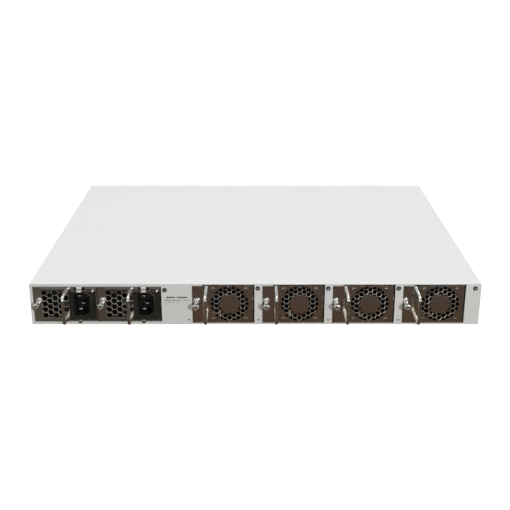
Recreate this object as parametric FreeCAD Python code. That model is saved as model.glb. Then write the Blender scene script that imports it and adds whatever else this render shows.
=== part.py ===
import FreeCAD, Part
import math
import os

# Rackmount network switch, 1U class.
# Units are millimetres. +Z is up, +X is to the right when the module side (the rear) is
# faced, and +Y points from the rear to the port side (the front). The origin is the
# bottom centre of the whole object, handles included.
# Shapes are laid out with "depth", the distance inwards from the rear face, and
# REAR_Y turns depth into Y.

Vec = FreeCAD.Vector

# --- driving dimensions: chassis -------------------------------------------------------
WIDTH = 443.0
HEIGHT = 43.6
DEPTH = 355.0
SHEET = 1.2
HALF = WIDTH / 2
COVER_Z = HEIGHT - SHEET
FLANGE_Z = 31.8            # lower edge of the cover's side flanges
SEAM = 0.3                 # gap between the cover's flanges and the pan's sides
COVER_ROUND = 1.0
RELIEF = (0.3, 1.6, 0.35)  # bend reliefs in the cover's rear edge: half width, length, skin left
SCREW_SHANK_R = 1.25
SCREW_HOLE_R = 1.3

# --- driving dimensions: handles and captive screws ------------------------------------
WIRE_R = 1.5
HANDLE_REACH = 17.5        # wire centre line to the rear face
HANDLE_BEND = 3.5
HANDLE_Z = (7.7, 35.3)
KNOB_R = 3.6
KNOB_REACH = 10.0
KNOB_LENGTH = 3.8
NECK_R = 2.2
SHANK_R = 1.5
SHANK_END = 9.0
RUN_GAP = 0.08             # radial clearance of everything that turns

# the handles reach furthest back, so they set where the rear face lies
REAR_Y = -(DEPTH + HANDLE_REACH + WIRE_R) / 2 + HANDLE_REACH + WIRE_R

# --- driving dimensions: fan modules ---------------------------------------------------
FAN_COUNT = 4
FAN_LEFT = -61.9           # left edge of the first module
FAN_PITCH = 69.1
FAN_W = 60.0
FAN_Z = (1.9, 41.2)
EAR_W = 9.7
EAR_TOP = 40.9
FAN_HANDLE_X = 13.4        # offsets from the module's left edge
FAN_SCREW_X = 3.6
FAN_SCREW_Z = 21.3
FAN_CENTRE_X = 36.5
FAN_CENTRE_Z = 21.9
PLATE_T = 1.2
GRILLE_IN = 9.8
GRILLE_OUT = 18.7
CELL_PITCH = 5.0
CELL_WEB = 0.8
CELL_CHAMFER = 0.2         # punched holes are broken at the front
BLOWER = 38.0              # square side of the fan itself
BLOWER_DEPTH = (7.0, 35.0)
SCREW_OFFSET = 16.0
TRAY_LENGTH = 78.0
TRAY_T = 1.0
FAN_GAP = 0.3              # plate to panel, at the left and the bottom
FAN_SIDE_GAP = 1.0         # at the right, for the gasket
FAN_EDGE_R = 0.9           # bend at the plate's right edge
FAN_BORE_R = 17.8
FAN_HUB_R = 9.3
FAN_BLADE_R = 17.1
FAN_ROTOR_DEPTH = (10.5, 34.0)
SPIDER_T = 2.5
SPIDER_ARM = 2.2
POST_R = 6.6               # stator core inside a rotor's hub
BLADES = 7
BLADE_HALF_T = 0.6
BLADE_PITCH = 38.0         # degrees from the axis

# --- driving dimensions: power supplies ------------------------------------------------
PSU_COUNT = 2
PSU_LEFT = -218.2
PSU_PITCH = 63.1
PSU_W = 62.5
PSU_EAR_W = 7.2
PSU_Z = (3.5, 40.2)
PSU_SLOPE_Z = 36.6         # the face slopes back above this height
PSU_SLOPE = 0.35
PSU_T = 2.0
PSU_SCREW_X = 4.1
PSU_SCREW_Z = 22.0
PSU_HANDLE_X = 32.4
PSU_CELL_X = 10.9
PSU_CELL_Z = 21.8
PSU_CELL_PITCH = 6.05
PSU_CELL_WEB = 0.9
PSU_CELL_CLIP = (7.3, 36.2)
PSU_SLOTS = ((40.3, 41.9), (49.2, 50.8))   # slots beside the cord clip, offsets in X
PSU_SLOT_Z = (36.4, 39.4)
CASE_X = (7.3, 61.8)
CASE_T = 0.8
CASE_LENGTH = 185.0
CASE_FAN_DEPTH = (34.0, 36.0)
CASE_BORE_R = 16.2
CASE_HUB_R = 8.3
CASE_BLADE_R = 15.6
CASE_ROTOR_DEPTH = (37.0, 55.0)
PSU_BOARD_START = 66.0
CASE_CONTACT_HALF = 22.0   # half width of the edge contacts at the inner end
CASE_VENTS = {"count": 9, "pitch": 5.0, "width": 2.4, "z": (14.0, 36.0)}
PSU_OPENING = (-218.45, -92.35, 3.0, 40.4)

# --- driving dimensions: power inlet ---------------------------------------------------
INLET_X = (34.7, 61.6)     # offsets from the supply's left edge
INLET_Z = (4.5, 35.0)
INLET_FRONT = 0.8
INLET_BODY = 24.0
CAVITY_X = (39.6, 54.9)
CAVITY_Z = (9.3, 32.6)
CAVITY_CHAMFER = 4.0
CAVITY_END = 17.8
PIN_LENGTH = 14.0
PIN_SIZE = (4.0, 2.0)
PINS = ((45.4, 15.2), (48.7, 22.0), (45.4, 29.2))

# --- driving dimensions: bay walls ------------------------------------------------------
WALL_FLANGE = (3.2, 4.4)   # depths of the flanges that the captive screws go into
WALL_FLANGE_Z = (3.4, 40.4)
PSU_WALL_END = 190.0
PSU_WALL_TOP = 35.0        # the cover's side screws pass over this wall
FAN_WALL_END = 80.0

# --- driving dimensions: boards and front ports ----------------------------------------
BOARD_Z = (6.4, 8.0)
BOARD_X = (-205.0, 205.0)
BOARD_STEP_X = -86.0
BOARD_DEPTHS = (90.0, 202.0, 349.0)
CHIP_TOP = 10.5
CHIP = {"x": 20.0, "depth": 235.0, "side": 46.0, "sink": 84.0, "fins": 19}
CPU = {"x": 130.0, "depth": 190.0, "side": 30.0, "sink": 46.0, "fins": 11}
SINK_TOP = 39.0
SINK_BASE = 3.5
FIN_T = 1.2
STANDOFF_R = 3.0
STANDOFF_HOLE_R = 1.6
STANDOFFS = ((-195, 210), (-195, 290), (-95, 210), (-78, 98), (60, 98), (195, 98),
             (-30, 160), (80, 230), (195, 200), (195, 290), (90, 300), (-100, 290))
CAGE_WALL = 0.6
CAGE_TOP = 33.2
QSFP = {"width": 18.6, "height": 9.2, "length": 55.0, "columns": 4}
QSFP_X = (-200.0, -112.0)
SFP = {"width": 14.0, "height": 8.8, "length": 50.0, "columns": 2}
SFP_X = -6.0
JACK_X = (60.0, 78.0)
JACK_W = 16.2
JACK_H = 13.6
JACK_LENGTH = 21.0
JACK_DEPTH = 14.0
JACK_STEPS = ((5.9, 3.6, 11.6), (3.3, 2.2, 3.7), (1.8, 1.2, 2.3))   # half width, low, high
PORT_GAP = 0.15
BUTTON_X = 112.0
BUTTON_Z = 14.8
BUTTON_R = 1.5
BUTTON_COLLAR_R = 2.6
BUTTON_LENGTH = 6.0
VENTS = ((58.0, 212.0, 25.0, 38.0), (132.0, 212.0, 7.0, 20.0))
SCREEN = {"margin": 2.0, "pitch": 4.6, "across": 3.6, "thick": 0.8}
LED_R = 0.9
LED_Z = 37.0
RACK_HOLE_R = 2.0
RACK_DEPTHS = (305.0, 335.0)
RACK_Z = (8.0, 24.0)
SIDE_SCREW_DEPTHS = (25.0, 130.0, 235.0, 330.0)
SIDE_SCREW_Z = 37.2
HEAD_R = 2.3
PANEL_SCREWS = ((-89.0, 36.7), (2.3, 38.5), (71.4, 38.5), (140.5, 38.5), (215.5, 38.5))


# --- shape helpers ---------------------------------------------------------------------
def box(x0, x1, d0, d1, z0, z1):
    return Part.makeBox(x1 - x0, d1 - d0, z1 - z0, Vec(x0, REAR_Y + d0, z0))


def rod(x, z, radius, d0, d1):
    """A cylinder that runs inwards, from depth d0 to d1."""
    return Part.makeCylinder(radius, d1 - d0, Vec(x, REAR_Y + d0, z), Vec(0, 1, 0))


def side_rod(side, depth, z, radius, x0, x1):
    """A cylinder across the chassis, from x0 to x1 on the given side (-1 or 1)."""
    return Part.makeCylinder(radius, x1 - x0, Vec(side * x0, REAR_Y + depth, z), Vec(side, 0, 0))


def post(x, depth, radius, z0, z1):
    return Part.makeCylinder(radius, z1 - z0, Vec(x, REAR_Y + depth, z0))


def prism_y(points, d0, d1):
    """An outline in X and Z, extruded inwards."""
    corners = [Vec(x, REAR_Y + d0, z) for x, z in points]
    face = Part.Face(Part.makePolygon(corners + corners[:1]))
    return face.extrude(Vec(0, d1 - d0, 0))


def prism_x(points, x0, x1):
    """An outline in depth and Z, extruded along X."""
    corners = [Vec(x0, REAR_Y + d, z) for d, z in points]
    face = Part.Face(Part.makePolygon(corners + corners[:1]))
    return face.extrude(Vec(x1 - x0, 0, 0))


def turned(x, z, profile):
    """A solid of revolution about the inward axis; profile is (radius, depth) points."""
    corners = [Vec(x + r, REAR_Y + d, z) for r, d in profile]
    face = Part.Face(Part.makePolygon(corners + corners[:1]))
    return face.revolve(Vec(x, 0, z), Vec(0, 1, 0), 360)


def cut_all(shape, tools):
    return shape.cut(Part.makeCompound(tools)) if tools else shape


def fuse_all(shapes):
    first, rest = shapes[0], shapes[1:]
    return first.fuse(rest).removeSplitter() if rest else first


def hexagon(x, z, across_flats):
    """Corners of a hexagon with flats at its top and bottom."""
    radius = across_flats / math.sqrt(3)
    angles = [math.radians(60 * k) for k in range(6)]
    return [(x + radius * math.cos(a), z + radius * math.sin(a)) for a in angles]


def cell_rim(x, z, across):
    """The tapered cut that breaks a hexagonal hole's front edge."""
    rings = []
    for depth, grow in ((-CELL_CHAMFER, 4), (CELL_CHAMFER, 0)):
        corners = [Vec(px, REAR_Y + depth, pz) for px, pz in hexagon(x, z, across + grow * CELL_CHAMFER)]
        rings.append(Part.makePolygon(corners + corners[:1]))
    return Part.makeLoft(rings, True, True)


def cross_recess(x, z, d0, d1, length, width):
    """A cross-shaped driver recess."""
    flat = box(x - length / 2, x + length / 2, d0, d1, z - width / 2, z + width / 2)
    tall = box(x - width / 2, x + width / 2, d0, d1, z - length / 2, z + length / 2)
    return flat.fuse(tall)


def save(name, shapes):
    shape = shapes[0] if len(shapes) == 1 else Part.makeCompound(shapes)
    for solid in shape.Solids:
        if not solid.isValid():
            print("not valid:", name)
    shape.exportStep("parts/%s.step" % name)


# --- chassis sheets --------------------------------------------------------------------
def fan_lefts():
    return [FAN_LEFT + FAN_PITCH * i for i in range(FAN_COUNT)]


def psu_lefts():
    return [PSU_LEFT + PSU_PITCH * i for i in range(PSU_COUNT)]


def base_pan():
    inner = HALF - SHEET
    parts = [box(-HALF, HALF, SHEET, DEPTH - SHEET, 0, SHEET)]
    for side in (-1, 1):
        lower = sorted((side * inner, side * HALF))
        upper = sorted((side * (inner - SHEET), side * inner))
        parts.append(box(*lower, SHEET, DEPTH - SHEET, SHEET, FLANGE_Z - SEAM))
        step_z = FLANGE_Z - SEAM - SHEET
        parts.append(box(*upper, SHEET, DEPTH - SHEET, step_z, COVER_Z))
    tools = []
    for side in (-1, 1):
        for depth in RACK_DEPTHS:
            tools += [side_rod(side, depth, z, RACK_HOLE_R, inner - 1, HALF + 1) for z in RACK_Z]
        for depth in SIDE_SCREW_DEPTHS:
            tools.append(side_rod(side, depth, SIDE_SCREW_Z, SCREW_HOLE_R, inner - 3, HALF))
    return cut_all(fuse_all(parts), tools)


def top_cover():
    inner = HALF - SHEET
    top = box(-HALF, HALF, 0, DEPTH, COVER_Z, HEIGHT)
    parts = [top]
    for side in (-1, 1):
        flange = sorted((side * inner, side * HALF))
        parts.append(box(*flange, SHEET, DEPTH - SHEET, FLANGE_Z, COVER_Z))
    cover = fuse_all(parts)
    edges = []
    for edge in cover.Edges:
        at = edge.BoundBox
        on_top = abs(at.ZMin - HEIGHT) < 0.01 and abs(at.ZMax - HEIGHT) < 0.01
        if on_top:
            edges.append(edge)
    cover = cover.makeFillet(COVER_ROUND, edges)
    tools = []
    for side in (-1, 1):
        for depth in SIDE_SCREW_DEPTHS:
            tools.append(side_rod(side, depth, SIDE_SCREW_Z, HEAD_R + 0.1, inner - 0.1, HALF + 1))
    # bend reliefs beside each divider, cut into the rear edge of the top
    half_width, length, skin = RELIEF
    for left in fan_lefts():
        for x in (left - FAN_GAP, left + FAN_W + FAN_SIDE_GAP):
            tools.append(box(x - half_width, x + half_width, -1, length, COVER_Z - 1, HEIGHT - skin))
    return cut_all(cover, tools)


def rear_panel():
    panel = box(-HALF, HALF, 0, SHEET, 0, COVER_Z)
    tools = [box(PSU_OPENING[0], PSU_OPENING[1], -1, SHEET + 1, PSU_OPENING[2], PSU_OPENING[3])]
    for left in fan_lefts():
        x0, x1 = left - FAN_GAP, left + FAN_W + FAN_SIDE_GAP
        step = left + EAR_W
        tools.append(box(x0, step, -1, SHEET + 1, FAN_Z[0] - FAN_GAP, EAR_TOP + FAN_GAP))
        tools.append(box(step, x1, -1, SHEET + 1, FAN_Z[0] - FAN_GAP, COVER_Z + 1))
    tools += [rod(x, z, SCREW_HOLE_R, -1, SHEET + 1) for x, z in PANEL_SCREWS]
    return panel.cut(fuse_all(tools))


def cage_outline(x0, kind):
    width = kind["columns"] * (kind["width"] + CAGE_WALL) + CAGE_WALL
    return x0, x0 + width


def led_places():
    places = []
    for x0 in QSFP_X:
        pitch = QSFP["width"] + CAGE_WALL
        centres = [x0 + CAGE_WALL + pitch * i + QSFP["width"] / 2 for i in range(QSFP["columns"])]
        places += [(c + s, LED_Z) for c in centres for s in (-4.0, 4.0)]
    pitch = SFP["width"] + CAGE_WALL
    centres = [SFP_X + CAGE_WALL + pitch * i + SFP["width"] / 2 for i in range(SFP["columns"])]
    places += [(c + s, LED_Z) for c in centres for s in (-3.0, 3.0)]
    return places + [(BUTTON_X, BUTTON_Z - 7 + 3.2 * i) for i in (-1, 0)]


def front_panel():
    d0, d1 = DEPTH - SHEET, DEPTH
    panel = box(-HALF, HALF, d0, d1, 0, COVER_Z)
    tools = []
    cages = [cage_outline(x, QSFP) for x in QSFP_X] + [cage_outline(SFP_X, SFP)]
    for x0, x1 in cages:
        z0, z1 = BOARD_Z[1] - PORT_GAP, CAGE_TOP + PORT_GAP
        tools.append(box(x0 - PORT_GAP, x1 + PORT_GAP, d0 - 1, d1 + 1, z0, z1))
    for x in JACK_X:
        z0, z1 = BOARD_Z[1] - PORT_GAP, BOARD_Z[1] + JACK_H + PORT_GAP
        tools.append(box(x - PORT_GAP, x + JACK_W + PORT_GAP, d0 - 1, d1 + 1, z0, z1))
    tools += [box(x0, x1, d0 - 1, d1 + 1, z0, z1) for x0, x1, z0, z1 in VENTS]
    tools += [rod(x, z, LED_R + 0.05, d0 - 1, d1 + 1) for x, z in led_places()]
    tools.append(rod(BUTTON_X, BUTTON_Z, BUTTON_R + RUN_GAP, d0 - 1, d1 + 1))
    return cut_all(panel, tools)


def vent_screens():
    """Perforated screens fixed behind the front panel's windows."""
    screens = []
    margin, pitch, across = SCREEN["margin"], SCREEN["pitch"], SCREEN["across"]
    d1 = DEPTH - SHEET
    d0 = d1 - SCREEN["thick"]
    for x0, x1, z0, z1 in VENTS:
        screen = box(x0 - margin, x1 + margin, d0, d1, z0 - margin, z1 + margin)
        columns = int((x1 - x0 - across) / (pitch * math.sqrt(3) / 2))
        tools = []
        for i in range(columns + 1):
            x = (x0 + x1) / 2 + (i - columns / 2) * pitch * math.sqrt(3) / 2
            rows = 3 if i % 2 == 0 else 2
            for k in range(rows):
                z = (z0 + z1) / 2 + (k - (rows - 1) / 2) * pitch
                tools.append(prism_y(hexagon(x, z, across), d0 - 1, d1 + 1))
        screens.append(cut_all(screen, tools))
    return screens


def screw_flange(wall_x, end_x, hole_x, hole_z):
    """The flange at a bay wall's rear edge, with the hole that a captive screw goes into."""
    d0, d1 = WALL_FLANGE
    flange = box(wall_x, end_x, d0, d1, *WALL_FLANGE_Z)
    return flange.cut(rod(hole_x, hole_z, SHANK_R + RUN_GAP, d0 - 1, d1 + 1))


def bay_walls():
    """Upright walls between the bays, each as a flat sheet, and the screw flanges on them."""
    behind = WALL_FLANGE[1]
    sheets = []
    for left in psu_lefts():
        x = left - TRAY_T + 0.3
        sheets.append(box(x, x + TRAY_T, behind, PSU_WALL_END, SHEET, PSU_WALL_TOP))
        sheets.append(screw_flange(x, left + CASE_X[0] - 0.5, left + PSU_SCREW_X, PSU_SCREW_Z))
    x = PSU_OPENING[1] + 0.4
    sheets.append(box(x, x + TRAY_T, behind, PSU_WALL_END, SHEET, PSU_WALL_TOP))
    for left in fan_lefts():
        x = left - TRAY_T - 1.0
        sheets.append(box(x, x + TRAY_T, behind, FAN_WALL_END, SHEET, COVER_Z))
        sheets.append(screw_flange(x, left + EAR_W + 3, left + FAN_SCREW_X, FAN_SCREW_Z))
    x = fan_lefts()[-1] + FAN_W + FAN_SIDE_GAP + 1.2
    sheets.append(box(x, x + TRAY_T, behind, FAN_WALL_END, SHEET, COVER_Z))
    return sheets


# --- boards and what stands on them ----------------------------------------------------

def main_board():
    z0, z1 = BOARD_Z
    rear, step, front = BOARD_DEPTHS
    board = fuse_all([box(BOARD_X[0], BOARD_X[1], step, front, z0, z1),
                      box(BOARD_STEP_X, BOARD_X[1], rear, step, z0, z1)])
    board = cut_all(board, [post(x, d, STANDOFF_HOLE_R, z0 - 1, z1 + 1) for x, d in STANDOFFS])
    chips = []
    for chip in (CHIP, CPU):
        x, depth, half = chip["x"], chip["depth"], chip["side"] / 2
        chips.append(box(x - half, x + half, depth - half, depth + half, z1, CHIP_TOP))
    return [board] + chips


def standoffs():
    return [post(x, d, STANDOFF_R, SHEET, BOARD_Z[0]) for x, d in STANDOFFS]


def heatsink(chip):
    """A finned block that sits on a chip; the fins run along the air stream."""
    x, depth, half = chip["x"], chip["depth"], chip["sink"] / 2
    block = box(x - half, x + half, depth - half, depth + half, CHIP_TOP, SINK_TOP)
    pitch = (chip["sink"] - FIN_T) / (chip["fins"] - 1)
    tools = []
    for i in range(chip["fins"] - 1):
        x0 = x - half + FIN_T + i * pitch
        tools.append(box(x0, x0 + pitch - FIN_T, depth - half - 1, depth + half + 1,
                         CHIP_TOP + SINK_BASE, SINK_TOP + 1))
    return cut_all(block, tools)


def module_sockets():
    """Sockets on the main board that the fan modules and power supplies plug into."""
    sockets = []
    for left in fan_lefts():
        centre = left + FAN_CENTRE_X
        sockets.append(box(centre - 9, centre + 9, 90.0, 101.0, BOARD_Z[1], BOARD_Z[1] + 7))
    for left in psu_lefts():
        centre = left + sum(CASE_X) / 2
        body = box(centre - 25, centre + 25, 188.0, BOARD_DEPTHS[1], 3.0, 13.0)
        slot = box(centre - 22.5, centre + 22.5, 187.0, 195.0, BOARD_Z[0] - 0.2, BOARD_Z[1] + 0.2)
        sockets.append(body.cut(slot))
    return sockets


def port_cage(x0, kind):
    """A stacked cage as its stamped sheets: floor, shelf, roof, back and upright walls."""
    x0, x1 = cage_outline(x0, kind)
    d0, d1 = DEPTH - kind["length"], DEPTH
    z0 = BOARD_Z[1]
    low = (z0 + CAGE_WALL, z0 + CAGE_WALL + kind["height"])
    high = (CAGE_TOP - CAGE_WALL - kind["height"], CAGE_TOP - CAGE_WALL)
    front = d0 + CAGE_WALL
    sheets = [box(x0, x1, d0, d0 + CAGE_WALL, z0, CAGE_TOP),
              box(x0, x1, front, d1, z0, low[0]),
              box(x0, x1, front, d1, low[1], high[0]),
              box(x0, x1, front, d1, high[1], CAGE_TOP)]
    for i in range(kind["columns"] + 1):
        wall_x = x0 + i * (kind["width"] + CAGE_WALL)
        for bottom, top in (low, high):
            sheets.append(box(wall_x, wall_x + CAGE_WALL, front, d1, bottom, top))
    return sheets


def network_jack(x0):
    """An eight-contact jack: the cavity has a notch below for the plug's latch."""
    z0 = BOARD_Z[1]
    body = box(x0, x0 + JACK_W, DEPTH - JACK_LENGTH, DEPTH, z0, z0 + JACK_H)
    centre = x0 + JACK_W / 2
    tools = []
    for half, low, high in JACK_STEPS:
        tools.append(box(centre - half, centre + half, DEPTH - JACK_DEPTH, DEPTH + 1,
                         z0 + low, z0 + high))
    return body.cut(fuse_all(tools))


def light_pipes():
    return [rod(x, z, LED_R, DEPTH - 6.0, DEPTH) for x, z in led_places()]


def reset_button():
    stem = rod(BUTTON_X, BUTTON_Z, BUTTON_R, DEPTH - BUTTON_LENGTH, DEPTH - 0.4)
    collar = rod(BUTTON_X, BUTTON_Z, BUTTON_COLLAR_R, DEPTH - BUTTON_LENGTH, DEPTH - SHEET)
    return fuse_all([stem, collar])


def case_screws():
    """Cross-recess screws: domed on the rear face, flush in the cover's side flanges."""
    screws = []
    for x, z in PANEL_SCREWS:
        profile = ((0, -0.9), (1.5, -0.8), (HEAD_R - 0.2, -0.35), (HEAD_R, 0),
                   (SCREW_SHANK_R, 0), (SCREW_SHANK_R, 5.0), (0, 5.0))
        screws.append(turned(x, z, profile).cut(cross_recess(x, z, -1, -0.45, 2.6, 0.6)))
    inner = HALF - SHEET
    for side in (-1, 1):
        for depth in SIDE_SCREW_DEPTHS:
            head = side_rod(side, depth, SIDE_SCREW_Z, HEAD_R, inner, HALF)
            shank = side_rod(side, depth, SIDE_SCREW_Z, SCREW_SHANK_R, inner - 4, inner)
            x0, x1 = sorted((side * (HALF - 0.6), side * (HALF + 1)))
            flat = box(x0, x1, depth - 1.4, depth + 1.4, SIDE_SCREW_Z - 0.3, SIDE_SCREW_Z + 0.3)
            tall = box(x0, x1, depth - 0.3, depth + 0.3, SIDE_SCREW_Z - 1.4, SIDE_SCREW_Z + 1.4)
            screws.append(fuse_all([head, shank]).cut(flat.fuse(tall)))
    return screws


# --- pieces that the fan modules and power supplies share ------------------------------
def handle(x):
    """A bent wire handle whose two legs stand on the face."""
    low, high = HANDLE_Z
    foot_y = REAR_Y
    bar_y = REAR_Y - HANDLE_REACH
    inset = HANDLE_BEND * (1 - math.sqrt(0.5))
    low_foot, high_foot = Vec(x, foot_y, low), Vec(x, foot_y, high)
    low_leg, high_leg = Vec(x, bar_y + HANDLE_BEND, low), Vec(x, bar_y + HANDLE_BEND, high)
    low_mid, high_mid = Vec(x, bar_y + inset, low + inset), Vec(x, bar_y + inset, high - inset)
    bar_low, bar_high = Vec(x, bar_y, low + HANDLE_BEND), Vec(x, bar_y, high - HANDLE_BEND)
    path = Part.Wire([
        Part.LineSegment(low_foot, low_leg).toShape(),
        Part.Arc(low_leg, low_mid, bar_low).toShape(),
        Part.LineSegment(bar_low, bar_high).toShape(),
        Part.Arc(bar_high, high_mid, high_leg).toShape(),
        Part.LineSegment(high_leg, high_foot).toShape()])
    ring = Part.Wire([Part.makeCircle(WIRE_R, low_foot, Vec(0, 1, 0))])
    return path.makePipeShell([ring], True, False)


def thumbscrew(x, z):
    """A captive screw: knob, neck and shank in one turned piece."""
    knob_end = -KNOB_REACH + KNOB_LENGTH
    profile = ((0, -KNOB_REACH), (KNOB_R - 0.5, -KNOB_REACH), (KNOB_R, -KNOB_REACH + 0.5),
               (KNOB_R, knob_end - 0.3), (KNOB_R - 0.3, knob_end), (NECK_R, knob_end),
               (NECK_R, -0.1), (SHANK_R, -0.1), (SHANK_R, SHANK_END - 0.7),
               (SHANK_R - 0.7, SHANK_END), (0, SHANK_END))
    recess = cross_recess(x, z, -KNOB_REACH - 1, -KNOB_REACH + 1.2, 4.4, 0.9)
    return turned(x, z, profile).cut(recess)


def spider(x, z, hub_r, bore_r, d0, d1):
    """A hub disc held by four struts that leave it at a tangent."""
    parts = [rod(x, z, hub_r, d0, d1)]
    strut = box(x - hub_r, x - hub_r + SPIDER_ARM, d0, d1, z - bore_r - 0.2, z)
    keep = rod(x, z, bore_r + 0.2, d0, d1)
    for k in range(4):
        arm = strut.copy()
        arm.rotate(Vec(x, 0, z), Vec(0, 1, 0), 90 * k)
        parts.append(arm.common(keep))
    return parts


def bearing_post(x, z, d0, d1):
    """Stator core and bearing tube, with the running bore for the rotor's shaft."""
    return rod(x, z, POST_R, d0, d1), rod(x, z, SHANK_R + RUN_GAP, d0 - 5, d1 + 5)


def rotor(x, z, hub_r, tip_r, d0, d1):
    """A cup-shaped hub with slanted blades and a shaft inside it."""
    cup = turned(x, z, ((0, d1 - 2), (hub_r - 1.2, d1 - 2), (hub_r - 1.2, d0), (hub_r, d0),
                        (hub_r, d1 - 0.6), (hub_r - 0.6, d1), (0, d1)))
    shaft = rod(x, z, SHANK_R, d0 + 2, d1 - 2)
    ring = rod(x, z, tip_r, d0, d1).cut(rod(x, z, hub_r - 0.4, d0 - 1, d1 + 1))
    parts = [cup, shaft]
    middle = (d0 + d1) / 2
    for k in range(BLADES):
        blade = box(x - BLADE_HALF_T, x + BLADE_HALF_T, middle - 40, middle + 40, z, z + tip_r + 1)
        blade.rotate(Vec(x, REAR_Y + middle, z), Vec(0, 0, 1), BLADE_PITCH)
        blade.rotate(Vec(x, REAR_Y + middle, z), Vec(0, 1, 0), 360 / BLADES * k)
        parts.append(blade.common(ring))
    return fuse_all(parts)


# --- fan module ------------------------------------------------------------------------
def fan_screw_places(left):
    x, z = left + FAN_CENTRE_X, FAN_CENTRE_Z
    return [(x + i * SCREW_OFFSET, z + k * SCREW_OFFSET) for i in (-1, 1) for k in (-1, 1)]


def grille_cells(x, z):
    """Hexagons on a honeycomb, each trimmed to the ring round the hub."""
    ring = rod(x, z, GRILLE_OUT, -1, PLATE_T + 1).cut(rod(x, z, GRILLE_IN, -2, PLATE_T + 2))
    across = CELL_PITCH - CELL_WEB
    full = math.sqrt(3) / 2 * across ** 2 * (PLATE_T + 2)
    column = CELL_PITCH * math.sqrt(3) / 2
    cells = []
    for i in range(-5, 6):
        for k in range(-5, 6):
            dx = i * column
            dz = (k + (i % 2) / 2) * CELL_PITCH
            if GRILLE_IN - 3 < math.hypot(dx, dz) < GRILLE_OUT + 3:
                cell = prism_y(hexagon(x + dx, z + dz, across), -1, PLATE_T + 1).common(ring)
                cells += [s for s in cell.Solids if s.Volume > 0.12 * full]
                if cell.Volume > 0.99 * full:
                    cells.append(cell_rim(x + dx, z + dz, across))
    return cells


def fan_faceplate(left):
    ear = box(left, left + EAR_W, 0, PLATE_T, FAN_Z[0], EAR_TOP)
    main = box(left + EAR_W, left + FAN_W, 0, PLATE_T, FAN_Z[0], FAN_Z[1])
    plate = fuse_all([ear, main])
    right_edge = [e for e in plate.Edges
                  if abs(e.BoundBox.XMin - left - FAN_W) < 0.01
                  and abs(e.BoundBox.XMax - left - FAN_W) < 0.01
                  and abs(e.BoundBox.YMax - REAR_Y) < 0.01]
    plate = plate.makeFillet(FAN_EDGE_R, right_edge)
    tools = grille_cells(left + FAN_CENTRE_X, FAN_CENTRE_Z)
    tools += [rod(x, z, 1.55, -1, PLATE_T + 1) for x, z in fan_screw_places(left)]
    tools.append(rod(left + FAN_SCREW_X, FAN_SCREW_Z, SHANK_R + RUN_GAP, -1, PLATE_T + 1))
    return cut_all(plate, tools)


def fan_tray(left):
    """A channel that carries the fan and guides the module in its bay."""
    half = BLOWER / 2 + 0.1
    x = left + FAN_CENTRE_X
    z0 = FAN_CENTRE_Z - BLOWER / 2
    parts = [box(x - half - TRAY_T, x + half + TRAY_T, PLATE_T, TRAY_LENGTH, FAN_Z[0], z0)]
    for x0 in (x - half - TRAY_T, x + half):
        parts.append(box(x0, x0 + TRAY_T, PLATE_T, TRAY_LENGTH, z0, z0 + BLOWER))
    return fuse_all(parts)


def fan_frame(left):
    x, z = left + FAN_CENTRE_X, FAN_CENTRE_Z
    half = BLOWER / 2
    d0, d1 = BLOWER_DEPTH
    body = box(x - half, x + half, d0, d1, z - half, z + half)
    body = body.cut(rod(x, z, FAN_BORE_R, d0 - 1, d1 + 1))
    post_solid, running_bore = bearing_post(x, z, d0 + SPIDER_T, d0 + 20)
    frame = fuse_all([body, post_solid] + spider(x, z, FAN_HUB_R + 0.2, FAN_BORE_R, d0, d0 + SPIDER_T))
    holes = [rod(px, pz, SCREW_HOLE_R, d0 - 1, d1 + 1) for px, pz in fan_screw_places(left)]
    return frame.cut(running_bore).cut(Part.makeCompound(holes))


def fan_screws(left):
    """Screws that hold the fan to the faceplate, each with a sleeve in the gap between."""
    d0 = BLOWER_DEPTH[0]
    shank, sleeve, gap = SCREW_SHANK_R, 2.4, 0.05
    profile = ((0, -0.8), (1.0, -0.7), (1.7, 0), (shank, 0), (shank, PLATE_T + gap),
               (sleeve, PLATE_T + gap), (sleeve, d0), (shank, d0), (shank, d0 + 8), (0, d0 + 8))
    return [turned(x, z, profile) for x, z in fan_screw_places(left)]


def fan_rotor(left):
    return rotor(left + FAN_CENTRE_X, FAN_CENTRE_Z, FAN_HUB_R, FAN_BLADE_R, *FAN_ROTOR_DEPTH)


# --- power supply ----------------------------------------------------------------------
def psu_grille_cells(left):
    across = PSU_CELL_PITCH - PSU_CELL_WEB
    full = math.sqrt(3) / 2 * across ** 2 * (PSU_T + 2)
    z0, z1 = PSU_CELL_CLIP
    window = box(left, left + PSU_W, -2, PSU_T + 2, z0, z1)
    cells = []
    for i in range(5):
        x = left + PSU_CELL_X + i * PSU_CELL_PITCH * math.sqrt(3) / 2
        rows = (-1, 0, 1) if i == 4 else (-3, -2, -1, 0, 1, 2, 3)
        for k in rows:
            z = PSU_CELL_Z + (k + (0.5 if i % 2 else 0)) * PSU_CELL_PITCH
            cell = prism_y(hexagon(x, z, across), -1, PSU_T + 1).common(window)
            cells += [s for s in cell.Solids if s.Volume > 4.0]
            if cell.Volume > 0.99 * full:
                cells.append(cell_rim(x, z, across))
    return cells


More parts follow.
